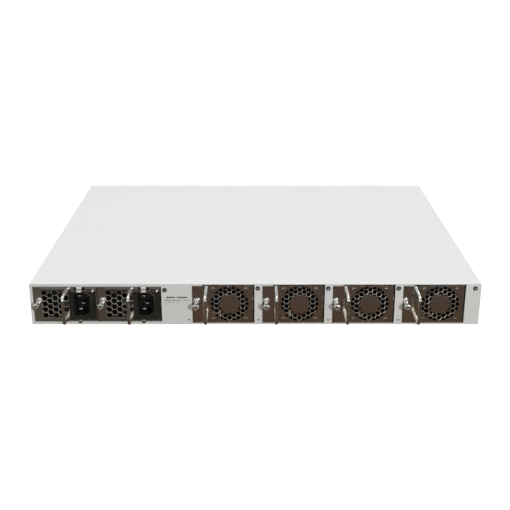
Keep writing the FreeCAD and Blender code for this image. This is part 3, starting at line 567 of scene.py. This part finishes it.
def status_light(module):
    """The supply's status light: a slanted clear lens in a dark bezel; the lens glows as a painted
    highlight.
    """
    plate, inlet = psu_face(module)
    centre = Vector((inlet[1].x - 2.8 * MM, plate[0].y, inlet[1].z + 1.1 * MM))
    tilt = Matrix.Rotation(math.radians(28), 4, "Y")
    bezel, lens = Vector((1.0, 0.5, 1.75)) * MM, Vector((0.62, 0.5, 1.45)) * MM
    for name, half, proud, material, slot_name in (
            ("_light_bezel", bezel, 0.0, BLACK, "black_plastic"),
            ("_light_lens", lens, 0.35 * MM, STATUS_LENS, "light_pipe")):
        bm = bmesh.new()
        at = centre - Vector((0, proud, 0))
        add_block(bm, at - half, at + half, 0.4 * MM, 3, turn=tilt)
        made = piece(module + name, bm, material, module + "_module", smooth=50)


def lower_screw(module):
    """The small screw at the lower lip, below the inlet."""
    plate, inlet = psu_face(module)
    centre = Vector((inlet[0].x + 9.9 * MM, 0, plate[0].z - 0.1 * MM))
    back = plate[0].y
    front = back - 0.75 * MM
    profile = [(1.5 * MM, front), (1.9 * MM, back - 0.45 * MM), (2.05 * MM, back), (0.0, back)]
    bm = bmesh.new()
    rings = add_turned(bm, centre, profile, 32)
    add_recessed_face(bm, centre, rings[0], front, depth=0.45 * MM, length=2.2 * MM, width=0.45 * MM)
    made = piece(module + "_lip_screw", bm, RIVET, module + "_module", smooth=40)


def inlet_rim(module):
    """The inlet's moulded rim: a raised edge round the mouth, whose lower and upper right corners
    are cut."""
    low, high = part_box(module + "_inlet")
    y = low.y
    left, right = low.x + 4.9 * MM, high.x - 6.7 * MM
    bottom, top = low.z + 4.8 * MM, high.z - 2.4 * MM
    cut = 4.0 * MM

    def loop(grow, depth):
        a, b, c, d = left - grow, right + grow, bottom - grow, top + grow
        corners = ((a, c), (b - cut, c), (b, c + cut), (b, d - cut), (b - cut, d), (a, d))
        return [bm.verts.new((x, y + depth, z)) for x, z in corners]

    # mm outwards from the mouth, and mm behind the inlet's front
    steps = ((0.0, 0.6), (0.0, -0.25), (0.35, -0.45), (1.1, -0.45), (1.5, -0.2), (1.6, 0.0))
    bm = bmesh.new()
    skin(bm, [loop(grow * MM, depth * MM) for grow, depth in steps], ends=False)
    rim = piece(module + "_inlet_rim", bm, INLET_GREY, module + "_module", smooth=25)


def blade_pins(module):
    """The inlet's three blades, with tapered tips."""
    low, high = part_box(module + "_inlet_pins")
    half_x, half_z = 2.0 * MM, 1.0 * MM
    left, right = low.x + half_x, high.x - half_x
    places = ((left - 0.3 * MM, low.z + half_z - 0.5 * MM),
              (right - 0.5 * MM, (low.z + high.z) / 2 - 1.3 * MM),
              (left - 0.4 * MM, high.z - half_z - 0.5 * MM))
    sections = ((low.y, 0.6, 0.3), (low.y + 0.18 * MM, 0.8, 0.62), (low.y + 0.6 * MM, 0.94, 0.86),
                (low.y + 1.5 * MM, 1.0, 1.0), (high.y, 1.0, 1.0))
    bm = bmesh.new()
    for x, z in places:
        skin(bm, [[bm.verts.new((x + side * half_x * wide, y, z + up * half_z * tall))
                   for side, up in ((-1, -1), (1, -1), (1, 1), (-1, 1))]
                  for y, wide, tall in sections])
    pins = piece(module + "_blade_pins", bm, PIN_METAL, module + "_module", smooth=50)
    soften(pins, 0.12 * MM)
    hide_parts(module + "_inlet_pins")


def insulating_and_shade_film(module):
    """Black film that lines the case between the face and the fan, with a square hole for the fan; its
    black is also painted shade for the inside seen through the grille.
    """
    case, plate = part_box(module + "_case"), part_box(module + "_faceplate")
    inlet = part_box(module + "_inlet")
    wall, thick = 0.8 * MM, 0.25 * MM
    x0, x1 = case[0].x + wall, inlet[0].x + 1.0 * MM
    z0, z1 = case[0].z + wall, case[1].z - wall
    film_depth, hole = 33.8 * MM, 15.9 * MM
    y0, y1 = plate[1].y, plate[0].y + film_depth
    centre_x, centre_z = (case[0].x + case[1].x) / 2, (case[0].z + case[1].z) / 2
    far = case[1].x - wall
    bm = bmesh.new()
    add_block(bm, (x0, y0, z0), (x0 + thick, y1, z1))
    add_block(bm, (x1 - thick, y0, z0), (x1, inlet[1].y, z1))
    add_block(bm, (x0 + thick, y0, z0), (x1 - thick, y1, z0 + thick))
    add_block(bm, (x0 + thick, y0, z1 - thick), (x1 - thick, y1, z1))
    for a, b, c, d in ((x0 + thick, centre_x - hole, z0 + thick, z1 - thick),
                       (centre_x + hole, far, z0 + thick, z1 - thick),
                       (centre_x - hole, centre_x + hole, z0 + thick, centre_z - hole),
                       (centre_x - hole, centre_x + hole, centre_z + hole, z1 - thick)):
        add_block(bm, (a, y1 - thick, c), (b, y1, d))
    film = piece(module + "_insulating_and_shade_film", bm, FILM_AND_SHADE, module + "_module")


# --- painted shade in the gaps, and the fans' foam squares -----------------------------
def fan_gap_shade(module):
    """Black strips in the gap above and on the right of a fan module's face, shaped as foam: painted
    shade for the dark gaps there.
    """
    low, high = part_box(module + "_faceplate")
    cover_wall, ear = 1.2 * MM, 10.5 * MM
    top = CASE_TOP - cover_wall - 0.05 * MM
    y0, y1 = low.y + 0.15 * MM, high.y + 3.5 * MM
    overlap, edge = 0.3 * MM, 0.3 * MM
    # painted shade: black strips along the top and right gaps of the face
    bm = bmesh.new()
    add_block(bm, (low.x + ear, y0, high.z - overlap), (high.x - 1.0 * MM, y1, top), edge, 3)
    add_block(bm, (high.x - overlap, y0, low.z), (high.x + 0.95 * MM, y1, high.z + 0.6 * MM), edge, 3)
    gap_shade = piece(module + "_gasket", bm, SHADE_FOAM, module + "_module", smooth=40)


def fan_seal_and_shade(module):
    """A square of black foam between the faceplate and the fan's frame; its black also paints the
    shade seen through the grille's outer holes.
    """
    frame_low, frame_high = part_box(module + "_frame")
    centre = (frame_low + frame_high) / 2
    inner, outer = 18.0 * MM, 18.9 * MM
    front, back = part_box(module + "_faceplate")[1].y + 0.1 * MM, frame_low.y - 0.1 * MM
    # partly painted shade: the black foam darkens what shows through the outer holes
    bm = bmesh.new()
    for x0, x1, z0, z1 in ((-outer, -inner, -outer, outer), (inner, outer, -outer, outer),
                           (-inner, inner, -outer, -inner), (-inner, inner, inner, outer)):
        add_block(bm, (centre.x + x0, front, centre.z + z0), (centre.x + x1, back, centre.z + z1))
    seal_and_shade = piece(module + "_seal", bm, SHADE_FOAM, module + "_module")


def psu_gap_shade(module, gap, cover, sunk):
    """A black strip in the gap on the right of a supply's face, shaped as foam: painted shade for the
    dark gap. It covers some of the face's edge, and lies a little below or above its front."""
    low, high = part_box(module + "_faceplate")
    # painted shade: a black strip over the face's right edge and the gap
    bm = bmesh.new()
    add_block(bm, (high.x - cover, low.y + sunk, low.z + 0.1 * MM),
              (high.x + gap - 0.05 * MM, high.y, high.z - 0.1 * MM), 0.1 * MM)
    gap_shade = piece(module + "_gasket", bm, SHADE_FOAM, module + "_module", smooth=40)


# --- marks on the rear -----------------------------------------------------------------
def face_bend_shade(module):
    """A black strip that paints the shade along the bend where a supply's face begins to slope back,
    left and right of the clip.
    """
    plate, inlet = psu_face(module)
    front = plate[0].y
    bottom = 36.75 * MM
    runs = ((plate[0].x + 7.2 * MM, inlet[0].x + 4.6 * MM, 37.5 * MM),
            (inlet[0].x + 16.9 * MM, inlet[1].x - 0.2 * MM, 37.7 * MM))
    # painted shade along the bend, as thin black strips
    bm = bmesh.new()
    for x0, x1, top in runs:
        add_block(bm, (x0, front - 0.03 * MM, bottom), (x1, front + 0.6 * MM, top))
    bend_shade = piece(module + "_face_bend_shade", bm, FILM_AND_SHADE, module + "_module")


def rear_screw_crosses():
    """Light metal at the bottom of the rear screws' cross recesses: a painted glint in each recess."""
    y = REAR_Y - 0.55 * MM
    arm, half_width, thick = 1.25 * MM, 0.27 * MM, 0.3 * MM
    bm = bmesh.new()
    for x, z in REAR_SCREWS:
        for half_x, half_z in ((arm, half_width), (half_width, arm)):
            add_block(bm, (x - half_x, y, z - half_z), (x + half_x, y + thick, z + half_z))
    crosses = piece("rear_screw_crosses", bm, CROSS_GLINT, "chassis")


def add_print(bm, x0, x1, z0, z1):
    """A thin block of ink on the rear face, between two corners in mm."""
    add_block(bm, (x0 * MM, REAR_Y - 0.03 * MM, z0 * MM), (x1 * MM, REAR_Y + 0.1 * MM, z1 * MM))


def printed_marks():
    """Plain dashes and rules where the switch has its small print; no letters. Places in mm."""
    bold_low, bold_high, bold_gap = 28.1, 29.7, 0.3
    bm = bmesh.new()
    for x, widths in ((-87.4, (1.9, 1.2, 1.6, 0.8, 1.5)), (-76.9, (1.1, 1.7, 0.9, 1.8, 1.2, 1.5))):
        for width in widths:
            add_print(bm, x, x + width, bold_low, bold_high)
            x += width + bold_gap
    for module in FANS:
        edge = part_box(module + "_faceplate")[0].x / MM
        for x0, x1, z0, z1 in ((5.1, 4.4, 4.3, 6.0), (4.2, 3.6, 4.2, 5.2), (3.6, 2.5, 4.4, 5.4)):
            add_print(bm, edge - x0, edge - x1, z0, z1)
    marks = piece("rear_printed_marks", bm, DARK_PRINT, "chassis")
    upper_runs = ((-89.2, -82.4), (-82.1, -74.4), (-73.7, -72.2), (-70.8, -67.7), (-66.0, -64.5))
    lower_runs = ((-89.2, -78.6), (-77.9, -74.2), (-72.3, -70.6), (-69.4, -66.2))
    bm = bmesh.new()
    for z, tall, runs in ((25.5, 0.8, upper_runs), (23.5, 0.3, lower_runs)):
        for x0, x1 in runs:
            add_print(bm, x0, x1, z, z + tall)
    rules = piece("rear_printed_rules", bm, PRINT, "chassis")


# --- port side -------------------------------------------------------------------------
CAGE_WALL = 0.6 * MM
QSFP_COLUMNS, QSFP_WIDTH = 4, 18.6 * MM
QSFP_GROUP = QSFP_COLUMNS * (QSFP_WIDTH + CAGE_WALL) + CAGE_WALL
SFP_COLUMNS, SFP_WIDTH = 2, 14.0 * MM


def cage_cells(block, columns, width, height):
    """Corners (x0, x1, z0, z1) of the cells in a block of cages that is two cells high."""
    low, high = block
    for column in range(columns):
        x0 = low.x + CAGE_WALL + column * (width + CAGE_WALL)
        yield x0, x0 + width, low.z + CAGE_WALL, low.z + CAGE_WALL + height
        yield x0, x0 + width, high.z - CAGE_WALL - height, high.z - CAGE_WALL


def add_finger(bm, x, z, inwards, half):
    """One bowed strip of spring sheet that runs back from the front face."""
    thick, length, rise = 0.12 * MM, 5.0 * MM, 0.7 * MM
    bends = 6
    rows = []
    for k in range(bends + 1):
        share = k / bends
        y = FRONT_Y - 0.1 * MM - length * share
        lift = (0.05 * MM + rise * math.sin(math.pi * share)) * inwards
        rows.append([bm.verts.new((x + side * half, y, z + lift + up * inwards))
                     for side, up in ((-1, 0), (1, 0), (1, thick), (-1, thick))])
    skin(bm, rows)


def spring_fingers():
    """Grounding fingers inside the mouth of every transceiver cell."""
    low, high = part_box("qsfp_cages")
    left_block = (low, Vector((low.x + QSFP_GROUP, high.y, high.z)))
    right_block = (Vector((high.x - QSFP_GROUP, low.y, low.z)), high)
    blocks = ((left_block, QSFP_COLUMNS, QSFP_WIDTH, 9.2 * MM, 5),
              (right_block, QSFP_COLUMNS, QSFP_WIDTH, 9.2 * MM, 5),
              (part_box("sfp_cages"), SFP_COLUMNS, SFP_WIDTH, 8.8 * MM, 4))
    bm = bmesh.new()
    for block, columns, width, height, count in blocks:
        pitch = width / count
        for x0, x1, z0, z1 in cage_cells(block, columns, width, height):
            for i in range(count):
                for z, inwards in ((z0, 1), (z1, -1)):
                    add_finger(bm, x0 + (i + 0.5) * pitch, z, inwards, pitch * 0.36)
    fingers = piece("cage_spring_fingers", bm, CAGE, "chassis", smooth=60)


def jack_details():
    """Eight sprung contacts and two small lenses in each network jack."""
    low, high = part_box("network_jacks")
    jack_width = 16.2 * MM
    roof = low.z + 11.6 * MM
    contact_count, pitch, contact_radius, bends = 8, 1.02 * MM, 0.17 * MM, 8
    lens_offset, lens_half = 5.4 * MM, 1.5 * MM
    contacts, green, amber = bmesh.new(), bmesh.new(), bmesh.new()
    for left in (low.x, high.x - jack_width):
        centre = left + jack_width / 2
        for i in range(contact_count):
            x = centre + (i - (contact_count - 1) / 2) * pitch
            line = [(x, FRONT_Y - (2.5 + 9.5 * k / bends) * MM,
                     roof - (0.4 + 3.2 * (k / bends) ** 1.5) * MM) for k in range(bends + 1)]
            add_tube(contacts, line, contact_radius, sides=8)
        for bm, side in ((green, -1), (amber, 1)):
            x = centre + side * lens_offset
            add_block(bm, (x - lens_half, FRONT_Y - 1.0 * MM, high.z - 1.75 * MM),
                      (x + lens_half, FRONT_Y + 0.05 * MM, high.z - 0.4 * MM), 0.2 * MM)
    for name, bm, material, slot_name in (
            ("jack_contacts", contacts, GOLD, "brass_post"),
            ("jack_lenses_green", green, LENS_GREEN, "light_pipe"),
            ("jack_lenses_amber", amber, LENS_AMBER, "light_pipe")):
        made = piece(name, bm, material, "chassis", smooth=50)


def port_marks():
    """Small triangles above and below the cages that point at the upper and lower rows."""
    qsfp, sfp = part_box("qsfp_cages"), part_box("sfp_cages")
    half_width, height = 0.8 * MM, 1.2 * MM
    places = []
    for start, columns, width in ((qsfp[0].x, QSFP_COLUMNS, QSFP_WIDTH),
                                  (qsfp[1].x - QSFP_GROUP, QSFP_COLUMNS, QSFP_WIDTH),
                                  (sfp[0].x, SFP_COLUMNS, SFP_WIDTH)):
        places += [start + CAGE_WALL + width / 2 + (width + CAGE_WALL) * i for i in range(columns)]
    bm = bmesh.new()
    for x in places:
        for z, way in ((35.0 * MM, -1), (6.0 * MM, 1)):
            corners = ((x - half_width, z), (x + half_width, z), (x, z + way * height))
            skin(bm, [[bm.verts.new((px, y, pz)) for px, pz in corners]
                      for y in (FRONT_Y + 0.03 * MM, FRONT_Y - 0.1 * MM)])
    marks = piece("port_marks", bm, PRINT, "chassis")


def base_label():
    """A blank rating label under the case, with plain rules in place of its print."""
    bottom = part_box("base_pan")[0].z
    left, right, near, far = -45 * MM, 45 * MM, -20 * MM, 24 * MM
    bm = bmesh.new()
    add_block(bm, (left, near, bottom - 0.06 * MM), (right, far, bottom + 0.2 * MM), 0.02 * MM)
    label = piece("base_label", bm, LABEL, "chassis")
    margin, first, pitch, half = 6 * MM, 16 * MM, 6 * MM, 0.5 * MM
    bm = bmesh.new()
    for i, length in enumerate((78, 60, 70, 48, 74, 36)):
        y = first - i * pitch
        add_block(bm, (left + margin, y - half, bottom - 0.09 * MM),
                  (left + margin + length * MM, y + half, bottom))
    rules = piece("base_label_rules", bm, PRINT, "chassis")


# --- studio ----------------------------------------------------------------------------
def floor_material():
    """A matt near-white that also glows, so that the floor and its wall look evenly pale."""
    paint = Paint("pale_floor", (0.92, 0.92, 0.92), 0.9)
    paint.tint(paint.noise(2.0), (0.9, 0.9, 0.9), 0.3)
    paint.set("Specular IOR Level", 0.0)
    paint.set("Emission Color", (1, 1, 1, 1)).set("Emission Strength", 0.75)
    return paint.material


def make_floor():
    """A round floor that curves up into a wall, far outside the lights; only the camera sees it."""
    radius, curve, wall, bends = 6.0, 1.5, 6.0, 12
    profile = [(0.0, 0.0), (radius, 0.0)]
    for k in range(1, bends + 1):
        a = TURN / 4 * k / bends
        profile.append((radius + curve * math.sin(a), curve * (1 - math.cos(a))))
    profile.append((radius + curve, wall))
    bm = bmesh.new()
    add_turned(bm, Vector((0, 0, 0)), profile, 96)
    bmesh.ops.rotate(bm, cent=(0, 0, 0), matrix=Matrix.Rotation(TURN / 4, 3, "X"), verts=bm.verts)
    mesh = bpy.data.meshes.new("floor")
    bm.to_mesh(mesh)
    bm.free()
    mesh.shade_smooth()
    floor = bpy.data.objects.new("floor", mesh)
    floor.location.z = cad_bounds[0][2]
    floor.data.materials.append(floor_material())
    floor.visible_glossy = False
    floor.visible_diffuse = False
    floor.visible_shadow = False
    bpy.context.scene.collection.objects.link(floor)


def area_light(name, place, target, size, power, color=(1, 1, 1)):
    """A rectangular light at place that faces target."""
    data = bpy.data.lights.new(name, "AREA")
    data.shape = "RECTANGLE"
    data.size, data.size_y = size
    data.energy = power
    data.color = color
    light = bpy.data.objects.new(name, data)
    light.location = place
    light.rotation_euler = (Vector(target) - Vector(place)).to_track_quat("-Z", "Y").to_euler()
    bpy.context.scene.collection.objects.link(light)


def make_lights():
    """A small key light on the right, a wide one overhead, and weak fills; sizes in metres and
    powers in watts."""
    middle = Vector((0, REAR_Y, CASE_TOP / 2))
    key_way, key_distance = Vector((0.414, -0.881, 0.229)), 2.2
    area_light("key", middle + key_way * key_distance, middle, (0.05, 0.05), 15.8, (0.98, 1.0, 0.95))
    area_light("overhead", (0, 0.1, 1.9), (0, 0, 0), (2.2, 2.0), 29.8)
    area_light("left_fill", (-1.9, -1.1, 0.9), middle, (0.9, 0.9), 2.4)
    area_light("rear_strip", (0, 1.6, 1.0), (0, 0, 0), (1.8, 0.5), 0.9)
    area_light("port_fill", (0.2, FRONT_Y + 1.6, 0.022), (0.1, FRONT_Y, 0.022), (1.4, 0.04), 4.5)


def grey(value):
    return (value, value, value)


def color_ramp(tree, stops, source):
    """A ramp node driven by source, which runs from -1 to 1."""
    shift = tree.nodes.new("ShaderNodeMapRange")
    shift.inputs["From Min"].default_value = -1.0
    ramp = tree.nodes.new("ShaderNodeValToRGB")
    tree.links.new(source, shift.inputs["Value"])
    tree.links.new(shift.outputs["Result"], ramp.inputs["Fac"])
    elements = ramp.color_ramp.elements
    while len(elements) < len(stops):
        elements.new(0.5)
    for element, (at, color) in zip(elements, stops):
        element.position = (at + 1) / 2
        element.color = (*color, 1)
    return ramp.outputs["Color"]


def blend(tree, factor, low, high):
    """A mix of two colours, from low where factor is 0 to high where it is 1."""
    mix = tree.nodes.new("ShaderNodeMix")
    mix.data_type = "RGBA"
    for name, source in (("Factor", factor), ("A", low), ("B", high)):
        tree.links.new(source, mix.inputs[name])
    return mix.outputs["Result"]


def make_world():
    """A dark brown table below the horizon, redder close by, and a band of pale light above it.
    The bright metal takes its colours from them. Each stop is a part of a direction's X or Z, from
    -1 to 1, and the colour there."""
    world = bpy.data.worlds.new("studio")
    world.use_nodes = True
    tree = world.node_tree
    background = tree.nodes["Background"]
    coords = tree.nodes.new("ShaderNodeTexCoord")
    split = tree.nodes.new("ShaderNodeSeparateXYZ")
    tree.links.new(coords.outputs["Generated"], split.inputs[0])
    across, height = split.outputs["X"], split.outputs["Z"]
    table_stops = (
        (-1.0, (0.07, 0.052, 0.036)), (-0.4, (0.08, 0.066, 0.05)), (-0.25, (0.09, 0.086, 0.07)),
        (-0.19, (0.08, 0.067, 0.054)), (-0.14, (0.073, 0.055, 0.045)), (-0.06, (0.085, 0.058, 0.043)),
        (0.25, (0.081, 0.057, 0.043)), (0.5, (0.08, 0.056, 0.04)), (1.0, (0.08, 0.058, 0.042)))
    sky_stops = (
        (-1.0, (0.26, 0.08, 0.015)), (-0.9, (0.2, 0.06, 0.012)), (-0.8, (0.03, 0.016, 0.01)),
        (-0.45, (0.05, 0.04, 0.03)), (-0.3, (0.75, 0.76, 0.74)), (0.3, (0.82, 0.83, 0.81)),
        (0.42, grey(0.25)), (1.0, grey(0.2)))
    sky_share_stops = (
        (-1.0, grey(1.0)), (-0.8, grey(0.9)), (-0.62, grey(0.5)), (-0.48, grey(0.0)),
        (-0.34, grey(0.0)), (-0.2, grey(0.07)), (-0.06, grey(0.3)), (0.12, grey(1.0)))
    table = color_ramp(tree, table_stops, across)
    sky = color_ramp(tree, sky_stops, height)
    sky_share = color_ramp(tree, sky_share_stops, height)
    tree.links.new(blend(tree, sky_share, table, sky), background.inputs["Color"])
    background.inputs["Strength"].default_value = 0.96
    bpy.context.scene.world = world


def make_camera():
    """A long lens that looks down on the rear face from straight behind it."""
    data = bpy.data.cameras.new("camera")
    data.lens = 62.69
    data.sensor_width = 36.0
    data.clip_start = 0.01
    distance, rise, aside, look_down = 0.8044, 0.3695, -0.0003, 20.21
    camera = bpy.data.objects.new("camera", data)
    camera.location = (aside, REAR_Y - distance, cad_bounds[0][2] + rise)
    camera.rotation_euler = Euler((math.radians(90 - look_down), 0, 0))
    bpy.context.scene.collection.objects.link(camera)
    bpy.context.scene.camera = camera


finish_cad_nodes()
for module in FANS + PSUS:
    wire_handle(module)
    knurled_screw(module)
for module in FANS:
    fan_lead(module)
    fan_plug(module)
    fan_gap_shade(module)
    fan_seal_and_shade(module)
for module in PSUS:
    cord_clip(module)
    status_light(module)
    lower_screw(module)
    inlet_rim(module)
    blade_pins(module)
    insulating_and_shade_film(module)
    face_bend_shade(module)
psu_gap_shade("psu_1", gap=0.6 * MM, cover=0.25 * MM, sunk=0.1 * MM)
psu_gap_shade("psu_2", gap=0.3 * MM, cover=0.8 * MM, sunk=-0.04 * MM)
rear_screw_crosses()
printed_marks()
spring_fingers()
jack_details()
port_marks()
base_label()
make_floor()
make_lights()
make_world()
make_camera()
bpy.context.scene.view_settings.view_transform = "Standard"
